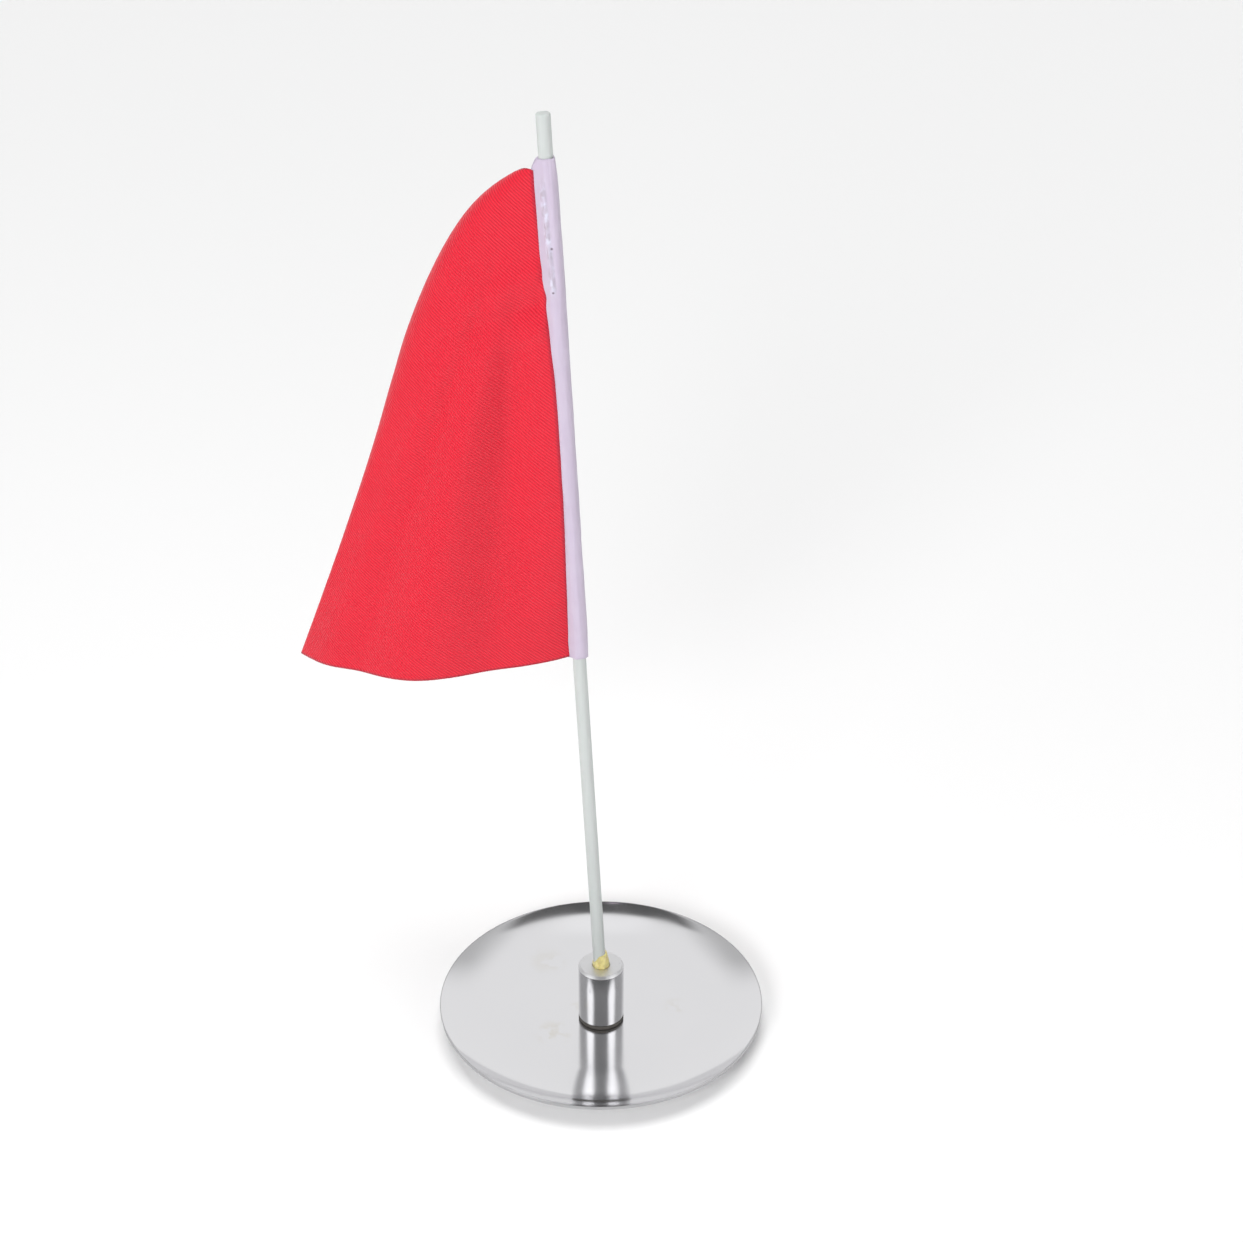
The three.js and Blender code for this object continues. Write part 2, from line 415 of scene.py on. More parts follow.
def stainless_steel():
    """Satin stainless sheet, with faint turning marks, wiping haze and a few dried drops."""
    material, tree, shader, place = new_material("stainless_steel")
    parts = node(tree, "SeparateXYZ", {0: place}).outputs
    radius = hypotenuse(tree, parts[0], parts[1])
    around = maths(tree, "ARCTAN2", parts[1], parts[0])
    rings = node(tree, "CombineXYZ", {0: radius, 1: maths(tree, "MULTIPLY", around, 0.004)}).outputs[0]
    marks = grain(tree, rings, 2200, 3.0)
    haze = grain(tree, place, 55, 4.0)
    drops = 0.0
    for x, y, size, share in DROPS:
        drops = maths(tree, "MULTIPLY_ADD", spot(tree, place, x, y, size), share, drops)
    patchy = ramp(tree, grain(tree, place, 260, 3.0), 0.0, 1.0, 0.42, 0.62)
    stain = maths(tree, "MULTIPLY", drops, patchy)
    clean = blend_colours(tree, haze, rgb(0.70, 0.70, 0.715), rgb(0.725, 0.72, 0.735))
    colour = blend_colours(tree, maths(tree, "MULTIPLY", stain, 0.55), clean, rgb(0.64, 0.61, 0.55))
    rough = maths(tree, "ADD", ramp(tree, haze, 0.10, 0.14, 0.3, 0.7), maths(tree, "MULTIPLY", stain, 0.12))
    sheared = ramp(tree, radius, 0.0, 1.0, (BASE["radius"] - 0.35) * MM, (BASE["radius"] - 0.12) * MM)
    colour = blend_colours(tree, maths(tree, "MULTIPLY", sheared, 0.75), colour, rgb(0.33, 0.33, 0.34))
    rough = maths(tree, "MULTIPLY_ADD", sheared, 0.25, rough)
    drive(tree, shader, Base_Color=colour, Metallic=1.0, Roughness=rough, Normal=bump(tree, marks, 0.0008))
    return material


def stud_steel():
    """Bright zinc plate with a faint rainbow cast."""
    material, tree, shader, place = new_material("stud_steel")
    cast = grain(tree, place, 400, 3.0)
    colour = blend_colours(tree, cast, rgb(0.60, 0.60, 0.62), rgb(0.64, 0.62, 0.56))
    drive(tree, shader, Base_Color=colour, Metallic=1.0, Roughness=ramp(tree, cast, 0.28, 0.42))
    drive(tree, shader, Normal=bump(tree, grain(tree, place, 3000, 2.0), 0.004))
    return material


def washer_rubber():
    """Dark brown-grey rubber, dusty, with streaks of painted sheen round its edge."""
    material, tree, shader, place = new_material("washer_rubber")
    sheen_streaks = grain(tree, place, 900, 3.0, (1, 1, 3.5))
    dust = grain(tree, place, 250, 3.0)
    # Painted sheen: the vertical streaks lighten the rubber's colour.
    colour = blend_colours(tree, sheen_streaks, rgb(0.040, 0.037, 0.033), rgb(0.105, 0.095, 0.085))
    colour = blend_colours(tree, ramp(tree, dust, 0.0, 0.35, 0.5, 0.75), colour, rgb(0.17, 0.155, 0.135))
    drive(tree, shader, Base_Color=colour, Roughness=ramp(tree, dust, 0.42, 0.62))
    drive(tree, shader, Normal=bump(tree, grain(tree, place, 2600, 3.0), 0.02))
    return material


def socket_aluminium():
    """Turned aluminium: fine rings from the tool, and a few scuffs."""
    material, tree, shader, place = new_material("socket_aluminium")
    parts = node(tree, "SeparateXYZ", {0: place}).outputs
    radius = hypotenuse(tree, parts[0], parts[1])
    along = maths(tree, "ADD", radius, parts[2])
    rings = node(tree, "CombineXYZ", {0: along}).outputs[0]
    tool = grain(tree, rings, 4200, 2.0)
    scuffs = ramp(tree, grain(tree, place, 700, 4.0, (1, 1, 0.35)), 0.0, 1.0, 0.60, 0.78)
    colour = blend_colours(tree, scuffs, rgb(0.66, 0.66, 0.67), rgb(0.54, 0.54, 0.56))
    rough = maths(tree, "ADD", ramp(tree, tool, 0.17, 0.26), maths(tree, "MULTIPLY", scuffs, 0.10))
    dull_from = (SOCKET_HIGH.z - SOCKET["top_chamfer"] - 0.1) * MM
    on_face = ramp(tree, parts[2], 0.0, 1.0, dull_from, dull_from + 0.15 * MM)
    rough = maths(tree, "MULTIPLY_ADD", on_face, 0.22, rough)
    drive(tree, shader, Base_Color=colour, Metallic=1.0, Roughness=rough, Normal=bump(tree, tool, 0.0022))
    return material


def yellow_resin():
    """Cured resin: glossy yellow, clouded with a darker amber."""
    material, tree, shader, place = new_material("yellow_resin")
    cloud = grain(tree, place, 700, 3.0)
    amber = ramp(tree, cloud, 0.0, 1.0, 0.35, 0.65)
    colour = blend_colours(tree, amber, rgb(0.72, 0.64, 0.27), rgb(0.56, 0.48, 0.19))
    drive(tree, shader, Base_Color=colour, Roughness=ramp(tree, cloud, 0.18, 0.32))
    drive(tree, shader, Subsurface_Weight=0.35, Subsurface_Scale=0.5)
    drive(tree, shader, Subsurface_Radius=(0.002, 0.0014, 0.0004))
    drive(tree, shader, Coat_Weight=0.4, Coat_Roughness=0.08)
    drive(tree, shader, Normal=bump(tree, grain(tree, place, 1500, 2.0), 0.06))
    return material


def fibreglass():
    """Pultruded rod: milky pale green, with fine glass fibres running along it."""
    material, tree, shader, place = new_material("fibreglass")
    fibres = grain(tree, place, 2600, 3.0, (1, 1, 0.012))
    cloud = grain(tree, place, 45, 2.0)
    colour = blend_colours(tree, fibres, rgb(0.455, 0.485, 0.475), rgb(0.54, 0.55, 0.545))
    colour = blend_colours(tree, maths(tree, "MULTIPLY", cloud, 0.3), colour, rgb(0.53, 0.585, 0.57))
    drive(tree, shader, Base_Color=colour, Roughness=ramp(tree, fibres, 0.34, 0.5))
    drive(tree, shader, Subsurface_Weight=0.5, Subsurface_Scale=0.6)
    drive(tree, shader, Subsurface_Radius=(0.0016, 0.0019, 0.0017))
    drive(tree, shader, Normal=bump(tree, fibres, 0.02))
    return material


def cloth_place(tree):
    """A cloth's own flat coordinates, in millimetres from the hoist and from the top edge."""
    flat = node(tree, "UVMap", uv_map="cloth").outputs[0]
    parts = node(tree, "SeparateXYZ", {0: flat}).outputs
    return flat, maths(tree, "DIVIDE", parts[0], MM), maths(tree, "DIVIDE", parts[1], MM)


def wave(tree, value, pitch):
    """0 to 1 and back once every pitch."""
    turn = maths(tree, "MULTIPLY", value, 2 * math.pi / pitch)
    return maths(tree, "MULTIPLY_ADD", maths(tree, "SINE", turn), 0.5, 0.5)


def near_edges(tree, from_start, length, reach):
    """1 at both ends of a length and 0 further than reach from them."""
    from_end = maths(tree, "SUBTRACT", length, from_start)
    nearest = maths(tree, "MINIMUM", from_start, from_end)
    return ramp(tree, nearest, 1.0, 0.0, 0.5 * reach, reach)


def red_twill():
    """Polyester twill: wales at 45 degrees, each crossed by its yarns, and hot-cut edges; painted shade
    darkens the wales' valleys, the edges and the hoist's fold.
    """
    material, tree, shader, _ = new_material("red_twill")
    flat, from_hoist, from_top = cloth_place(tree)
    wobble = maths(tree, "MULTIPLY", grain(tree, flat, 300, 2.0), 0.35)
    diagonal = maths(tree, "ADD", maths(tree, "ADD", from_hoist, from_top), wobble)
    wale = wave(tree, diagonal, WALE)
    threads = wave(tree, from_hoist, YARN)
    height = maths(tree, "MULTIPLY", wale, maths(tree, "MULTIPLY_ADD", threads, 0.4, 0.6))
    slub = grain(tree, flat, 900, 2.0, (1, 0.08, 1))
    height = maths(tree, "MULTIPLY_ADD", slub, 0.25, height)
    dye = grain(tree, flat, 60, 3.0)
    lit = blend_colours(tree, dye, rgb(0.70, 0.011, 0.032), rgb(0.76, 0.014, 0.038))
    # Painted shade: the wales' valleys are darkened in the colour.
    colour = blend_colours(tree, ramp(tree, wale, 0.62, 0.0, 0.0, 0.8), lit, rgb(0.42, 0.004, 0.016))
    from_hem = maths(tree, "ADD", from_hoist, PANEL["hem"])
    cut_above_below = near_edges(tree, from_top, PANEL["hoist"], CUT_EDGE)
    cut_sideways = near_edges(tree, from_hem, PANEL["fly"] + PANEL["hem"], CUT_EDGE)
    cut = maths(tree, "MAXIMUM", cut_above_below, cut_sideways)
    # Painted shade: a thin dark outline along the cut edges; the lower roughness there is the hot-cut edge's
    # own.
    colour = blend_colours(tree, maths(tree, "MULTIPLY", cut, 0.7), colour, rgb(0.40, 0.010, 0.03))
    # Painted shadow: a dark line where the hoist's edge folds under.
    fold_shadow = ramp(tree, maths(tree, "ABSOLUTE", from_hoist), 0.75, 0.0, 0.2, 1.2)
    colour = blend_colours(tree, fold_shadow, colour, rgb(0.36, 0.008, 0.03))
    rough = maths(tree, "MULTIPLY_ADD", cut, -0.2, ramp(tree, wale, 0.52, 0.38))
    drive(tree, shader, Base_Color=colour, Roughness=rough, Specular_IOR_Level=0.4)
    drive(tree, shader, Sheen_Weight=0.15, Sheen_Roughness=0.25, Sheen_Tint=rgb(1.0, 0.55, 0.6))
    drive(tree, shader, Normal=bump(tree, height, 0.15, 1.0))
    return material


def upright(tree, place):
    """A leaning piece's x and height along the pole, in millimetres."""
    axis = Vector((math.cos(LEAN), 0, math.sin(LEAN))) / MM
    rise = Vector((-math.sin(LEAN), 0, math.cos(LEAN))) / MM
    found = []
    for direction in (axis, rise):
        dot = node(tree, "VectorMath", {0: place, 1: direction}, operation="DOT_PRODUCT").outputs["Value"]
        found.append(maths(tree, "SUBTRACT", dot, direction.dot(MOUTH * MM)))
    return found


def glued(tree, place):
    """1 along the sleeve's glued ridge, and 0 away from it."""
    x, height = upright(tree, place)
    line = ramp(tree, height, RIDGE["bottom_x"], RIDGE["top_x"], RIDGE["bottom"], RIDGE["top"])
    away = maths(tree, "ABSOLUTE", maths(tree, "SUBTRACT", x, line))
    within = maths(
        tree, "MULTIPLY",
        ramp(tree, height, 0.0, 1.0, RIDGE["bottom"] - 3, RIDGE["bottom"] + 2),
        ramp(tree, height, 1.0, 0.0, RIDGE["top"] - 2, RIDGE["top"] + 4),
    )
    return maths(tree, "MULTIPLY", ramp(tree, away, 1.0, 0.0, 0.4, 1.3), within)


def white_satin():
    """Thin cool-white satin: long floats that catch the light, with a lilac cast, painted highlight and
    shade on its glued ridge, and two pinholes painted as dark spots of shade.
    """
    material, tree, shader, place = new_material("white_satin")
    flat, _, down = cloth_place(tree)
    floats = grain(tree, flat, 2600, 2.0, (1, 0.10, 1))
    cross = wave(tree, down, SATIN_PITCH)
    cloud = grain(tree, flat, 160, 3.0)
    colour = blend_colours(tree, cloud, rgb(0.47, 0.385, 0.51), rgb(0.53, 0.465, 0.57))
    # Painted sheen: the floats lighten the colour.
    colour = blend_colours(tree, maths(tree, "MULTIPLY", floats, 0.35), colour, rgb(0.57, 0.53, 0.63))
    patchy = ramp(tree, grain(tree, flat, 500, 3.0), 0.3, 1.0, 0.35, 0.6)
    soaked = maths(tree, "MULTIPLY", glued(tree, place), patchy)
    # Painted highlight and shade on the glued ridge's wrinkles: bluish-white on their crests, dark lilac
    # between them.
    ridge_light_and_shade_noise = ramp(tree, grain(tree, place, 650, 2.0, (1, 1, 0.6)), 0.0, 1.0, 0.36, 0.64)
    painted_ridge_light_and_shade = blend_colours(tree, ridge_light_and_shade_noise, rgb(0.42, 0.37, 0.45), rgb(0.64, 0.64, 0.76))
    colour = blend_colours(tree, maths(tree, "MULTIPLY", soaked, 0.85), colour, painted_ridge_light_and_shade)
    x, along = upright(tree, place)
    # Painted shade: two pinholes shown only as dark spots in the colour.
    for mark_x, mark_height in GLUE_MARKS:
        aside = maths(tree, "SUBTRACT", x, mark_x)
        above = maths(tree, "SUBTRACT", along, mark_height)
        hole_shade = ramp(tree, hypotenuse(tree, aside, above), 0.85, 0.0, 0.15, 0.5)
        colour = blend_colours(tree, hole_shade, colour, rgb(0.13, 0.09, 0.12))
    height = maths(tree, "MULTIPLY_ADD", cross, 0.25, floats)
    rough = maths(tree, "MULTIPLY_ADD", soaked, -0.10, ramp(tree, floats, 0.38, 0.52))
    drive(tree, shader, Base_Color=colour, Roughness=rough)
    drive(tree, shader, Sheen_Weight=0.3, Sheen_Roughness=0.3, Sheen_Tint=rgb(0.9, 0.92, 1.0))
    drive(tree, shader, Subsurface_Weight=0.15, Subsurface_Scale=0.4)
    drive(tree, shader, Subsurface_Radius=(0.001, 0.001, 0.0012))
    drive(tree, shader, Normal=bump(tree, height, 0.05, 0.7))
    return material


def clear_glue():
    """Clear glue gone slightly cloudy."""
    material, tree, shader, place = new_material("clear_glue")
    cloud = grain(tree, place, 900, 3.0)
    colour = blend_colours(tree, cloud, rgb(0.72, 0.68, 0.66), rgb(0.86, 0.84, 0.88))
    drive(tree, shader, Base_Color=colour, Roughness=ramp(tree, cloud, 0.12, 0.25))
    drive(tree, shader, Coat_Weight=0.6, Coat_Roughness=0.05)
    drive(tree, shader, Normal=bump(tree, grain(tree, place, 2200, 2.0), 0.05))
    return material


def sewing_thread():
    """Spun polyester, its plies twisted."""
    material, tree, shader, place = new_material("sewing_thread")
    plies = grain(tree, place, 5000, 2.0, (1, 1, 0.4))
    colour = blend_colours(tree, plies, rgb(0.74, 0.71, 0.78), rgb(0.88, 0.86, 0.90))
    drive(tree, shader, Base_Color=colour, Roughness=0.65, Sheen_Weight=0.3)
    drive(tree, shader, Normal=bump(tree, plies, 0.03))
    return material


STEEL = stainless_steel()
ZINC = stud_steel()
RUBBER = washer_rubber()
ALUMINIUM = socket_aluminium()
RESIN = yellow_resin()
FIBREGLASS = fibreglass()
TWILL = red_twill()
SATIN = white_satin()
GLUE = clear_glue()
THREAD = sewing_thread()

# ---------------------------------------------------------------- base


def base_dish():
    """The pressed dish: a flat floor that curves up to a plain rim, with a stepped hole for the stud."""
    sheet = BASE["sheet"]
    run = BASE["radius"] - BASE["floor_radius"]
    rise = BASE["rim_height"] - sheet
    inside = (run * run + rise * rise) / (2 * rise)
    tilt = math.asin(run / inside)
    centre = (BASE["floor_radius"], sheet + inside)
    upper = arc(centre, inside, 0, tilt, 60)
    lower = arc(centre, inside + sheet, 0, tilt * 0.975, 60)
    outline = [
        (BASE["hole_radius"], BASE["seat_top"]),
        (BASE["seat_radius"], BASE["seat_top"]),
        (BASE["seat_radius"], 0.12),
        (BASE["seat_radius"] + 0.12, 0),
        (12, 0),
        (20, 0),
        *[(min(r, BASE["radius"]), z) for r, z in lower],
    ]
    edge = Vector(upper[-1])
    outward = Vector((math.cos(tilt), math.sin(tilt)))
    downward = Vector((math.sin(tilt), -math.cos(tilt)))
    for down, back in ((0.80, 0.02), (0.55, 0.0), (0.3, 0.0), (0.12, 0.04)):
        point = edge + downward * down * sheet - outward * back
        outline.append((min(point.x, BASE["radius"]), point.y))
    outline += [
        *[(min(r, BASE["radius"] - 0.1), z) for r, z in reversed(upper)],
        (20, sheet),
        (12, sheet),
        (8, sheet),
        (BASE["hole_radius"], sheet),
    ]

    def uneven(x, y, z):
        """Pressing and polishing leave the wall very slightly wavy."""
        radius = math.hypot(x, y)
        wavy = 0.035 * smooth(12, 40, radius) * (1 - 0.8 * smooth(48, 52, radius))
        return Vector((x, y, z + wavy * lumps(x * 0.07, y * 0.07, 3.0)))

    return turned("dish", outline, STEEL, 256, uneven)


def base_stud():
    """The clinch stud: a flush head with a turned face, and an M4 thread."""
    outline = [
        (0, 0.02),
        (1.2, 0),
        (STUD["head_radius"] - 0.1, 0),
        (STUD["head_radius"], 0.1),
        (STUD["head_radius"], STUD["head_height"]),
        (STUD["root_radius"], STUD["head_height"]),
    ]
    height = STUD["head_height"] + 0.8
    while height < STUD_HIGH.z - 1.0:
        outline += [
            (STUD["root_radius"], height),
            (STUD["radius"], height + 0.5 * STUD["pitch"]),
        ]
        height += STUD["pitch"]
    outline += [(STUD["root_radius"], height), (1.3, STUD_HIGH.z - 0.05), (0, STUD_HIGH.z)]
    return turned("stud", outline, ZINC, 48)


def socket_washer():
    """The rubber washer, squeezed a little proud of the socket."""
    low, high = WASHER_LOW.z, WASHER_HIGH.z
    outline = softened(
        [
            (BASE["hole_radius"], low),
            (WASHER_HIGH.x - 0.1, low),
            (WASHER_HIGH.x + 0.03, (low + high) / 2),
            (WASHER_HIGH.x - 0.1, high),
            (BASE["hole_radius"], high),
        ],
        0.25,
    )

    def uneven(x, y, z):
        swell = 1 + 0.006 * lumps(x * 0.35, y * 0.35, z * 0.5)
        return Vector((x * swell, y * swell, z))

    return turned("washer", outline, RUBBER, 128, uneven, 60)


# ---------------------------------------------------------------- post


def pole_socket():
    """The turned socket, with broken edges and a deep bore for the pole."""
    low, high, radius = SOCKET_LOW.z, SOCKET_HIGH.z, SOCKET_HIGH.x
    corners = softened(
        [
            (SOCKET["tapped_radius"], low),
            (radius - SOCKET["bottom_chamfer"], low),
            (radius, low + SOCKET["bottom_chamfer"]),
            (radius, high - SOCKET["top_chamfer"]),
            (radius - SOCKET["top_chamfer"], high),
            (SOCKET["bore_radius"] + 0.12, high),
            (SOCKET["bore_radius"], high - 0.15),
            (SOCKET["bore_radius"], SOCKET["bore_floor"]),
            (SOCKET["tapped_radius"], SOCKET["bore_floor"] - 0.4),
        ],
        0.07,
    )
    return turned("socket", corners, ALUMINIUM, 192, crease=20)


def pole_adhesive():
    """Resin that fills the mouth of the bore and climbs the pole, highest on the side away from its lean."""
    columns = 96
    skin = POLE["radius"] + 0.01
    bore = SOCKET["bore_radius"] - 0.04
    sides = [Vector((math.cos(a), math.sin(a))) for a in (2 * math.pi * c / columns for c in range(columns))]

    def reach(side):
        """From the pole's axis to the bore's wall."""
        offset = -MOUTH.x * side.x
        return offset + math.sqrt(bore**2 - MOUTH.x**2 + offset**2)

    def climb(side):
        ragged = lumps(1.4 * side.x, 1.4 * side.y, 5.0) + 0.4 * lumps(4 * side.x, 4 * side.y, 9.0)
        return mix(FILL["low_climb"], FILL["high_climb"], smooth(-1.1, 0.2, side.x)) + 0.15 * ragged

    rows = [[(side * reach(side), height) for side in sides] for height in (FILL["foot"], -0.6, -0.05)]
    rows.append([(side * (reach(side) + 0.12 * smooth(0.4, 1.0, -side.y)), 0.05) for side in sides])
    for share in (0.06, 0.14, 0.24, 0.36, 0.48, 0.60, 0.72, 0.84, 0.93, 1.0):
        row = []
        for side in sides:
            swell = 0.14 * math.sin(math.pi * share) * (1 + lumps(2.5 * side.x, 2.5 * side.y, share * 2))
            at_top = mix(0.08, 0.50, smooth(-0.4, 0.9, side.x))
            thick = mix(at_top, reach(side) - skin, 1 - share) + swell
            row.append((side * (skin + thick), climb(side) * share))
        rows.append(row)
    rows.append([(side * skin, climb(side) + 0.03) for side in sides])
    rows.append([(side * skin, FILL["foot"]) for side in sides])

    points = [(side.x, side.y, height) for row in rows for side, height in row]
    faces = grid_faces(columns, len(rows), wrap=True)
    last = (len(rows) - 1) * columns
    faces += [(last + c, last + (c + 1) % columns, (c + 1) % columns, c) for c in range(columns)]
    return leaned(make_mesh("adhesive", points, faces, RESIN, crease=70))


def flag_pole():
    """The rod, its tip ground to a soft bevel and its foot sawn square."""
    radius, tip = POLE["radius"], POLE["tip_round"]
    outline = [(0, -POLE["depth"]), (radius - 0.15, -POLE["depth"]), (radius, -POLE["depth"] + 0.15)]
    outline += [(radius, mix(0, POLE_TOP - tip - 2, step / 40)) for step in range(41)]
    outline += [(radius, POLE_TOP - tip)]
    outline += [
        (radius - tip + tip * math.cos(angle), POLE_TOP - tip + tip * math.sin(angle))
        for angle in (math.radians(step * 15) for step in range(1, 6))
    ]
    outline += [(radius - tip, POLE_TOP), (0.9, POLE_TOP + 0.02), (0, POLE_TOP + 0.02)]

    def uneven(x, y, z):
        """The ground tip is a little out of true."""
        near_tip = smooth(POLE_TOP - 1.5, POLE_TOP, z)
        return Vector((x, y, z - 0.06 * near_tip * (1 + lumps(x, y, 2.0))))

    return leaned(turned("pole", outline, FIBREGLASS, 96, uneven, 50))


# ---------------------------------------------------------------- flag


def sleeve_route():
    """The sleeve's section, from the front layer's cut edge round the pole to the back layer's."""
    radius, join, end = SLEEVE["radius"], SLEEVE["join"], SLEEVE["tail_end"]
    centre = Vector((SLEEVE["centre"], 0))
    to_join = join - centre
    heading = math.atan2(to_join.y, to_join.x)
    swing = math.acos(radius / to_join.length)
    start = heading + swing
    finish = heading - swing + 2 * math.pi
    gap = Vector((0, SLEEVE["cloth"] * 1.25))
    front = [Vector((end, join.y)), Vector((mix(end, join.x, 0.5), join.y)), join.copy()]
    steps = 40
    angles = [mix(start, finish, step / steps) for step in range(steps + 1)]
    around = [centre + radius * Vector((math.cos(angle), math.sin(angle))) for angle in angles]
    shares = (0.2, 0.4, 0.6, 0.8)
    first_slope = [join.lerp(around[0], share) for share in shares]
    last_slope = [around[-1].lerp(join + gap, share) for share in shares]
    back = [point + gap for point in reversed(front)]
    return front + first_slope + around + last_slope + back


def ridge_line(height):
    """Where the glued ridge runs down the sleeve's front, in x."""
    share = clamp((RIDGE["top"] - height) / (RIDGE["top"] - RIDGE["bottom"]))
    return mix(RIDGE["top_x"], RIDGE["bottom_x"], share)


def sleeve_shape(point, share_up, index):
    """Slack, puckers at both ends and a lumpy ridge where glue took hold, on the plain sleeve."""
    tail_share = clamp((-point.x - SLEEVE["radius"]) / (-SLEEVE["tail_end"] - SLEEVE["radius"]))
    length = SLEEVE["length"] - SLEEVE["trim"] * tail_share**1.5
    height = SLEEVE["bottom"] + length * share_up
    from_top = length - length * share_up
    from_bottom = length * share_up
    angle = math.atan2(point.y, point.x)
    away = point.normalized()
    on_tube = smooth(-4.2, -2.0, point.x)
    slack = 0.12 * lumps(2 * math.cos(angle), 2 * math.sin(angle), height * 0.05)
    slack += 0.09 * lumps(5 * math.cos(angle), 5 * math.sin(angle), height * 0.13)
    snug = -0.50 * math.exp(-from_top / 6.0) - 0.2 * math.exp(-from_bottom / 5.0)
    ends = math.exp(-from_top / 5.0) + 0.8 * math.exp(-from_bottom / 3.5)
    pleats = 0.13 * ends * math.sin(4 * angle + height * 0.25)
    on_front = smooth(0.4, 0.9, -away.y)
    above_foot = smooth(RIDGE["bottom"] - 3, RIDGE["bottom"] + 2, height)
    within = above_foot * (1 - smooth(RIDGE["top"] - 2, RIDGE["top"] + 3, height))
    wrinkles = 0.65 + 0.7 * lumps(point.x * 0.9, height * 0.45, 4.0) + 0.30 * math.sin(height * 1.7)
    ridge = RIDGE["rise"] * bell(point.x, ridge_line(height), RIDGE["width"]) * within * wrinkles
    ridge -= 0.16 * bell(point.x, ridge_line(height) + 0.95, 0.4) * within
    moved = point + away * (on_tube * (slack + snug + pleats) + on_front * ridge)
    moved.y += (1 - on_tube) * 0.12 * lumps(height * 0.11, index * 0.03, 8.0)
    return Vector((moved.x, moved.y, height + 0.3 * ends * lumps(3 * away.x, 3 * away.y, 1.0)))


def header_sleeve():
    """The satin strip wrapped round the pole, with its cut edges together behind the flag."""
    route = sleeve_route()
    lengths = [0.0]
    for before, after in zip(route, route[1:]):
        lengths.append(lengths[-1] + (after - before).length)
    rows = 221
    points = []
    uvs = []
    for row in range(rows):
        share_up = row / (rows - 1)
        for index, (point, length) in enumerate(zip(route, lengths)):
            points.append(sleeve_shape(point, share_up, index))
            uvs.append((length * MM, (1 - share_up) * SLEEVE["length"] * MM))
    faces = grid_faces(len(route), rows)
    sleeve = make_mesh("sleeve", points, faces, SATIN, uvs, 80)
    return leaned(thickened(sleeve, SLEEVE["cloth"])), lengths[-1]


def sleeve_glue():
    """The run of glue under the sleeve's front, a thin uneven film on the pole."""
    columns, rows = 17, 61
    bottom = SLEEVE_GLUE["bottom"]
    top = bottom + SLEEVE_GLUE["length"]
    points = []
    for layer in (0, 1):
        for row in range(rows):
            height = mix(bottom, top, row / (rows - 1))
            for column in range(columns):
                share = 2 * column / (columns - 1) - 1
                end = smooth(0, 3, height - bottom) * smooth(0, 3, top - height)
                ragged = 1 + 0.2 * lumps(height * 0.4, 2.0, 1.0)
                width = SLEEVE_GLUE["half_angle"] * (0.35 + 0.65 * end) * ragged
                angle = -math.pi / 2 + share * width
                thick = 0.16 * (1 - share * share) * (0.4 + 0.6 * end) * layer
                radius = POLE["radius"] + 0.03 + thick
                points.append((radius * math.cos(angle), radius * math.sin(angle), height))
    face = grid_faces(columns, rows)
    count = columns * rows
    faces = [tuple(reversed(quad)) for quad in face] + [tuple(i + count for i in quad) for quad in face]
    border = (
        [row * columns for row in range(rows)]
        + [(rows - 1) * columns + column for column in range(1, columns)]
        + [row * columns + columns - 1 for row in range(rows - 2, -1, -1)]
        + list(range(columns - 2, 0, -1))
    )
    for here, after in zip(border, border[1:] + border[:1]):
        faces.append((here, after, after + count, here + count))
    return leaned(make_mesh("glue_run", points, faces, GLUE, crease=80))


def rolled(from_hoist, from_top):
    """Rolls the flat cloth over near the diagonal from the top of the hoist to the bottom of the fly.

    Takes a point's distances from the hoist and from the top edge, and gives its place in the front's
    plane and its depth behind it.
    """
    hoist, fly = PANEL["hoist"], PANEL["fly"]
    rise, fall, turn = ROLL["rise"], ROLL["fall"], ROLL["turn"]
    diagonal = math.hypot(fly, hoist)
    along_x = fly / diagonal
    along_z = hoist / diagonal
    along = from_hoist * along_x + from_top * along_z
    beyond = from_hoist * along_z - from_top * along_x

    def hump(share):
        return share**rise * (1 - share) ** fall

    share = clamp(along / diagonal)
    fullness = hump(share) / hump(rise / (rise + fall))
    radius = mix(ROLL["tight_radius"], ROLL["wide_radius"], fullness)
    start = ROLL["crest"] * fullness - radius
    angle = clamp((beyond - start) / radius, 0, turn)
    straight = max(beyond - start - radius * turn, 0)
    out = beyond
    if angle > 0:
        out = start + radius * math.sin(angle) + straight * math.cos(turn)
    across = along * along_x + out * along_z
    down = along * along_z - out * along_x
    behind = radius * (1 - math.cos(angle)) + straight * math.sin(turn)
    return across, down, behind


def arched(across, down, behind):
    """Arches the front's plane towards -Y, most at the bottom, and takes what lies behind it along."""
    hoist, fly, bulge, turn_back = PANEL["hoist"], PANEL["fly"], PANEL["bulge"], PANEL["turn_back"]
    share = max(down / hoist, 0)
    leaves = bulge * share
    front_width = fly * share + 4  # the 4 mm keeps the narrow top from curling up
    bend = max((bulge + turn_back) * share, 1e-6) / front_width
    heading = leaves - bend * across
    return Vector((
        PANEL["edge"] - (math.sin(leaves) - math.sin(heading)) / bend - behind * math.sin(heading),
        (math.cos(leaves) - math.cos(heading)) / bend + behind * math.cos(heading),
        PANEL["bottom"] + hoist - down,
    ))


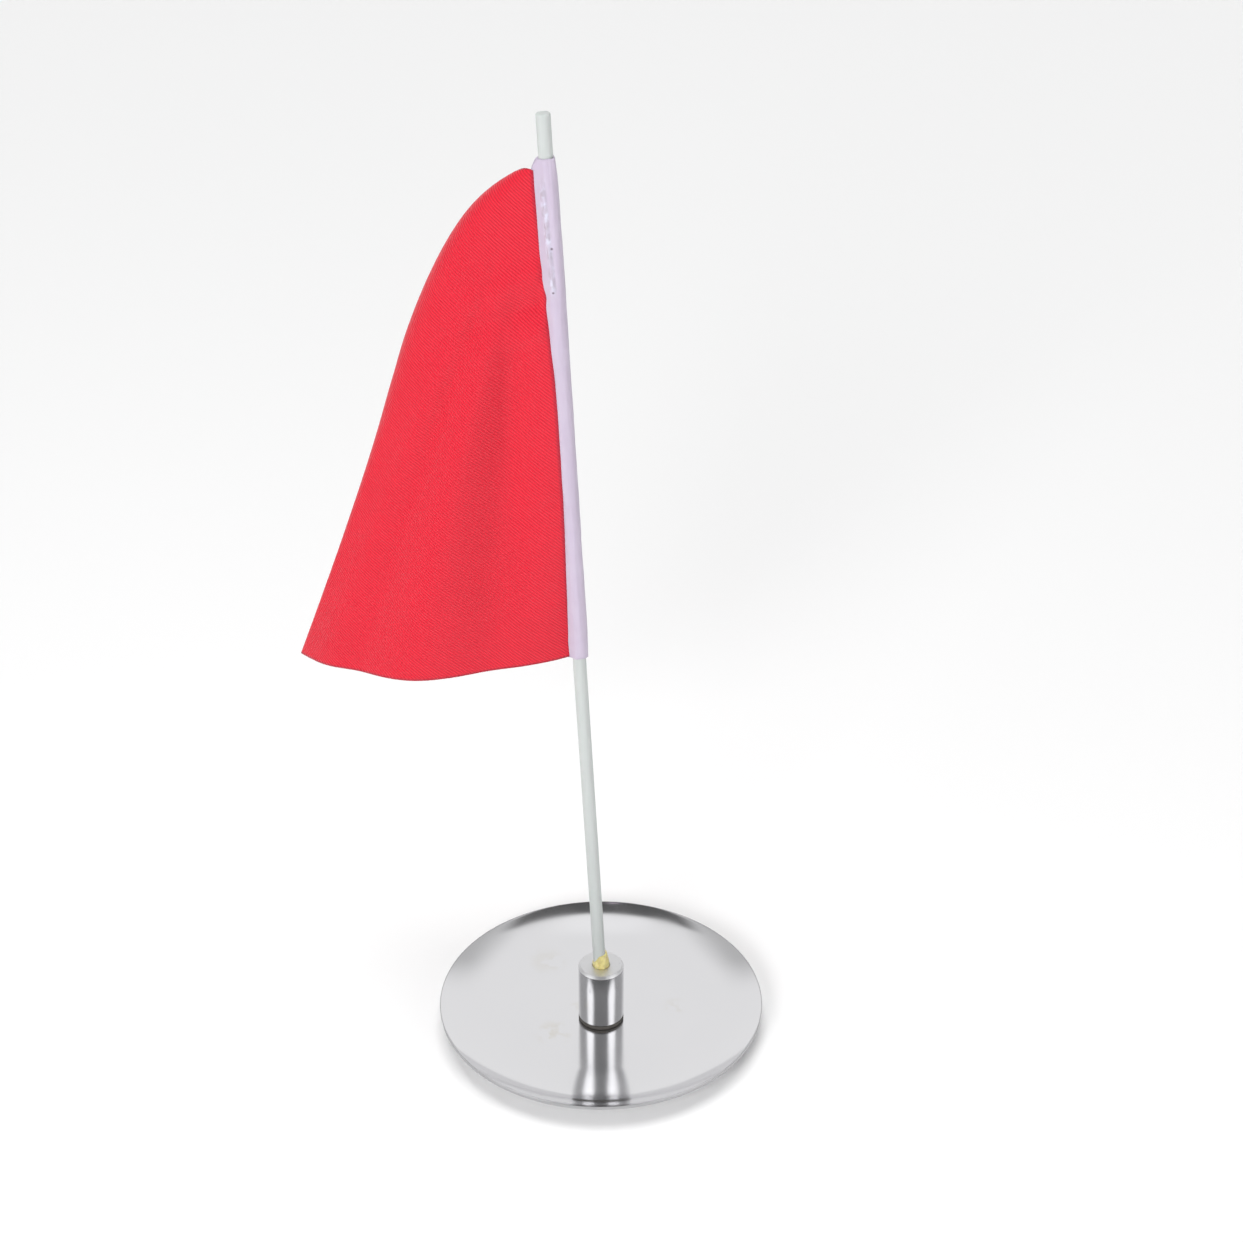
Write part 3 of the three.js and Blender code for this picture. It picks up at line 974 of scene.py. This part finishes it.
def hoist_line(from_top):
    """Where the hoist's fold lies over the sleeve: it wanders, and steps in at a pucker."""
    x = -3.6 + 1.35 * smooth(3, 37, from_top) + 0.80 * smooth(37, 70, from_top)
    x -= 0.90 * smooth(80, 146, from_top)
    x += 0.12 * bell(from_top, 36, 2.0) + 0.06 * lumps(from_top * 0.12, 0.0, 2.0)
    centre, radius, join = SLEEVE["centre"], SLEEVE["radius"], SLEEVE["join"]
    over_tube = -math.sqrt(max(radius**2 - (x - centre) ** 2, 0.01))
    over_slope = join.y - 0.92 * (x - join.x)
    y = max(over_tube, over_slope) if x < -1.6 else over_tube
    return x, y - 0.28


def hung(from_hoist, from_top):
    """The cloth's middle surface, before its hem is turned."""
    place = arched(*rolled(from_hoist, from_top))
    x, y = hoist_line(from_top)
    grip = 1 - smooth(0, 13, from_hoist)
    start = arched(*rolled(0, from_top))
    place += Vector((x - start.x, y - start.y, 0)) * grip
    return place


def folds(from_hoist, from_top):
    """How far the cloth stands out of its smooth shape: soft tension folds and puckers, in millimetres."""
    spread = math.degrees(math.atan2(from_hoist + 2, from_top + 6))
    reach = math.hypot(from_hoist, from_top)
    fan = sum(depth * bell(spread, angle, width) for angle, depth, width in FAN)
    creases = fan * smooth(10, 90, reach)
    creases += 0.7 * lumps(from_hoist * 0.040, from_top * 0.018, 7.0)
    pucker = 0.0
    for where, depth, length in PUCKERS:
        slope = from_top - where - 0.45 * from_hoist
        pucker += depth * bell(slope, 0, 3.0) * math.exp(-from_hoist / length) * smooth(0, 2.5, from_hoist)
    return creases * smooth(0, 12, from_hoist) + pucker


def flag_point(from_hoist, from_top):
    """A point of the cloth, with its folds, and with what is past the hoist turned back behind it."""
    inside = abs(from_hoist)
    place = hung(inside, from_top)
    step = 0.05
    across = hung(inside + step, from_top) - place
    down = hung(inside, from_top + step) - place
    backwards = down.cross(across).normalized()
    out = -folds(inside, from_top)
    if from_hoist < 0:
        out += 0.32 * smooth(0, 0.7, inside)
    return place + backwards * out


def flag_panel():
    """The flag: a flat rectangle of cloth with its hoist edge turned under, moved point by point."""
    hem, fly, hoist = PANEL["hem"], PANEL["fly"], PANEL["hoist"]
    across = [-hem * share for share in (1.0, 0.8, 0.6, 0.4)]
    across += [-1.4, -0.9, -0.55, -0.3, -0.12, 0.0, 0.12, 0.3, 0.55, 0.9, 1.4]  # close together at the fold
    first = 2.0
    columns = 110
    across += [first + (fly - first) * step / columns for step in range(columns + 1)]
    rows = 200
    points = []
    uvs = []
    for row in range(rows):
        from_top = hoist * row / (rows - 1)
        for from_hoist in across:
            # The top edge dips where the hem folds.
            dip = 1.1 * math.exp(-abs(from_hoist) / 0.9) if row == 0 else 0.0
            points.append(flag_point(from_hoist, from_top + dip))
            uvs.append((from_hoist * MM, (from_top + dip) * MM))
    faces = grid_faces(len(across), rows)
    return leaned(thickened(make_mesh("flag", points, faces, TWILL, uvs, 80), PANEL["cloth"]))


def header_seam():
    """Lock stitches through the hem and the sleeve's tail, with their ends buried in the cloth."""
    points = []
    faces = []
    sides, steps = 8, 10
    back = SLEEVE["join"].y + SLEEVE["cloth"] * 2.3
    count = int(SEAM["length"] / SEAM["pitch"])
    for stitch in range(count):
        base = len(points)
        bottom = PANEL["bottom"] + SEAM["bottom_margin"] + stitch * SEAM["pitch"]
        drift = 0.12 * lumps(stitch * 0.7, 1.0, 0.0)
        for step in range(steps + 1):
            share = step / steps
            z = bottom + SEAM["pitch"] * (0.04 + 0.92 * share)
            lift = 0.20 * math.sin(math.pi * share) ** 0.5 - 0.12
            slant = mix(-0.10, 0.10, share)
            for side in range(sides):
                angle = 2 * math.pi * side / sides
                points.append((
                    SEAM["x"] + drift + slant + SEAM["thread"] * math.cos(angle),
                    back + lift + SEAM["thread"] * math.sin(angle),
                    z,
                ))
        faces += [tuple(base + i for i in quad) for quad in grid_faces(sides, steps + 1, wrap=True)]
        faces.append(tuple(base + side for side in reversed(range(sides))))
        faces.append(tuple(base + steps * sides + side for side in range(sides)))
    return leaned(make_mesh("seam_stitches", points, faces, THREAD, crease=80))


# ---------------------------------------------------------------- stage, light and camera


def floor():
    """A plain pale floor, wide enough for its far edge to lie close to the horizon."""
    material, tree, shader, _ = new_material("pale_floor")
    drive(tree, shader, Base_Color=rgb(0.93, 0.93, 0.93), Roughness=0.9, Specular_IOR_Level=0.1)
    corners = [(x * FLOOR_HALF, y * FLOOR_HALF, 0) for x, y in ((-1, -1), (1, -1), (1, 1), (-1, 1))]
    made = make_mesh("floor", corners, [(0, 1, 2, 3)], material)


def light_tent():
    """A white tent: bright walls at the front's two sides, and between them a dark slit for the lens."""
    world = bpy.data.worlds.new("tent")
    world.use_nodes = True
    bpy.context.scene.world = world
    tree = world.node_tree
    parts = node(tree, "SeparateXYZ", {0: node(tree, "TexCoord").outputs["Generated"]}).outputs
    sideways = maths(tree, "ABSOLUTE", parts[0])

    # 1.0 behind, 0.6 at the two sides and 2.5 in front, with 0.1 more straight above.
    at_side = maths(
        tree, "MULTIPLY",
        ramp(tree, sideways, 0.0, 1.0, 0.35, 0.62),
        ramp(tree, maths(tree, "ABSOLUTE", parts[1]), 1.0, 0.0, 0.45, 0.72),
    )
    in_front = ramp(tree, parts[1], 1.0, 0.0, -0.27, -0.15)
    tent = maths(tree, "MULTIPLY_ADD", at_side, -0.40, 1.0)
    tent = maths(tree, "MULTIPLY_ADD", in_front, 1.5, tent)
    overhead = ramp(tree, parts[2], 0.0, 0.10, 0.93, 0.99)
    tent = maths(tree, "ADD", tent, overhead)

    # The slit's upper end is bowed, so the dish shows it as a crescent.
    bow = maths(tree, "MULTIPLY", maths(tree, "MULTIPLY", sideways, sideways), 0.9)
    past_top = maths(tree, "SUBTRACT", parts[1], bow)
    slit = maths(
        tree, "MULTIPLY",
        ramp(tree, past_top, 1.0, 0.0, -0.06, 0.0),
        ramp(tree, sideways, 1.0, 0.0, 0.42, 0.56),
    )
    slit_tone = ramp(tree, parts[2], 0.34, 0.12, 0.60, 0.94)
    strength = node(tree, "Mix", {0: slit, 2: tent, 3: slit_tone}, data_type="FLOAT").outputs[0]

    # Matt surfaces take less than half of the tent's light, because the lamps make it up.
    path = node(tree, "LightPath").outputs
    taken = maths(tree, "MULTIPLY_ADD", path["Is Diffuse Ray"], -LAMP_SHARE, 1.0)
    strength = maths(tree, "MULTIPLY", strength, taken)
    seen = path["Is Camera Ray"]
    strength = node(tree, "Mix", {0: seen, 2: strength, 3: SKY_SEEN}, data_type="FLOAT").outputs[0]
    background = tree.nodes["Background"]
    background.inputs["Color"].default_value = rgb(1.0, 1.0, 1.0)
    tree.links.new(strength, background.inputs["Strength"])


def lamp(name, kind):
    """A lamp that the metal doesn't mirror."""
    light = bpy.data.objects.new(name, bpy.data.lights.new(name, kind))
    bpy.context.scene.collection.objects.link(light)
    light.visible_glossy = False
    return light


def key_light():
    """A round soft light from the front left, which gives the cloth its shading."""
    light = lamp("key", "AREA")
    light.data.shape = "DISK"
    light.data.size = KEY["size"] * MM
    light.data.energy = KEY["watts"]
    turn = (KEY["aim"] - KEY["place"]).to_track_quat("-Z", "Y")
    light.matrix_world = Matrix.Translation(KEY["place"] * MM) @ turn.to_matrix().to_4x4()


def overhead_light():
    """Broad light straight down, the same all over the floor, which keeps it pale."""
    light = lamp("overhead", "SUN")
    light.data.energy = OVERHEAD["strength"]
    light.data.angle = OVERHEAD["angle"]


def camera():
    """The photograph's viewpoint, fitted to the base and the pole's tip."""
    data = bpy.data.cameras.new("camera")
    data.lens = CAMERA["lens"]
    data.sensor_width = CAMERA["sensor"]
    data.clip_start = 0.01
    data.clip_end = 50
    made = bpy.data.objects.new("camera", data)
    bpy.context.scene.collection.objects.link(made)
    elevation = CAMERA["elevation"]
    tilt = Matrix.Rotation(math.pi / 2 - elevation, 4, "X")
    turn = tilt @ Matrix.Rotation(CAMERA["roll"], 4, "Z")
    back = Vector((0, -math.cos(elevation), math.sin(elevation)))
    place = (CAMERA["target"] + back * CAMERA["distance"]) * MM
    made.matrix_world = Matrix.Translation(place) @ turn
    bpy.context.scene.camera = made


# ---------------------------------------------------------------- assembly

on_body(base_dish(), "stand_base", "stainless_steel", "base_dish")
on_body(base_stud(), "stand_base", "stud_steel", "base_stud")
on_body(socket_washer(), "stand_base", "washer_rubber", "socket_washer")
on_body(pole_socket(), "flag_post", "socket_aluminium", "pole_socket")
on_body(pole_adhesive(), "flag_post", "yellow_resin", "pole_adhesive")
pole = on_body(flag_pole(), "flag_post", "fibreglass", "flag_pole")
sleeve, strip_width = header_sleeve()
on_body(sleeve, "flag_post", "white_satin", "header_sleeve")
on_body(sleeve_glue(), "flag_post", "clear_glue", "sleeve_glue")
flag = on_body(flag_panel(), "flag_post", "red_twill", "flag_panel")
flag.visible_glossy = False  # the dish's back rim would otherwise mirror the red
seam = on_body(header_seam(), "flag_post", "sewing_thread", "header_seam")

floor()
light_tent()
key_light()
overhead_light()
camera()
bpy.context.scene.view_settings.view_transform = "Standard"
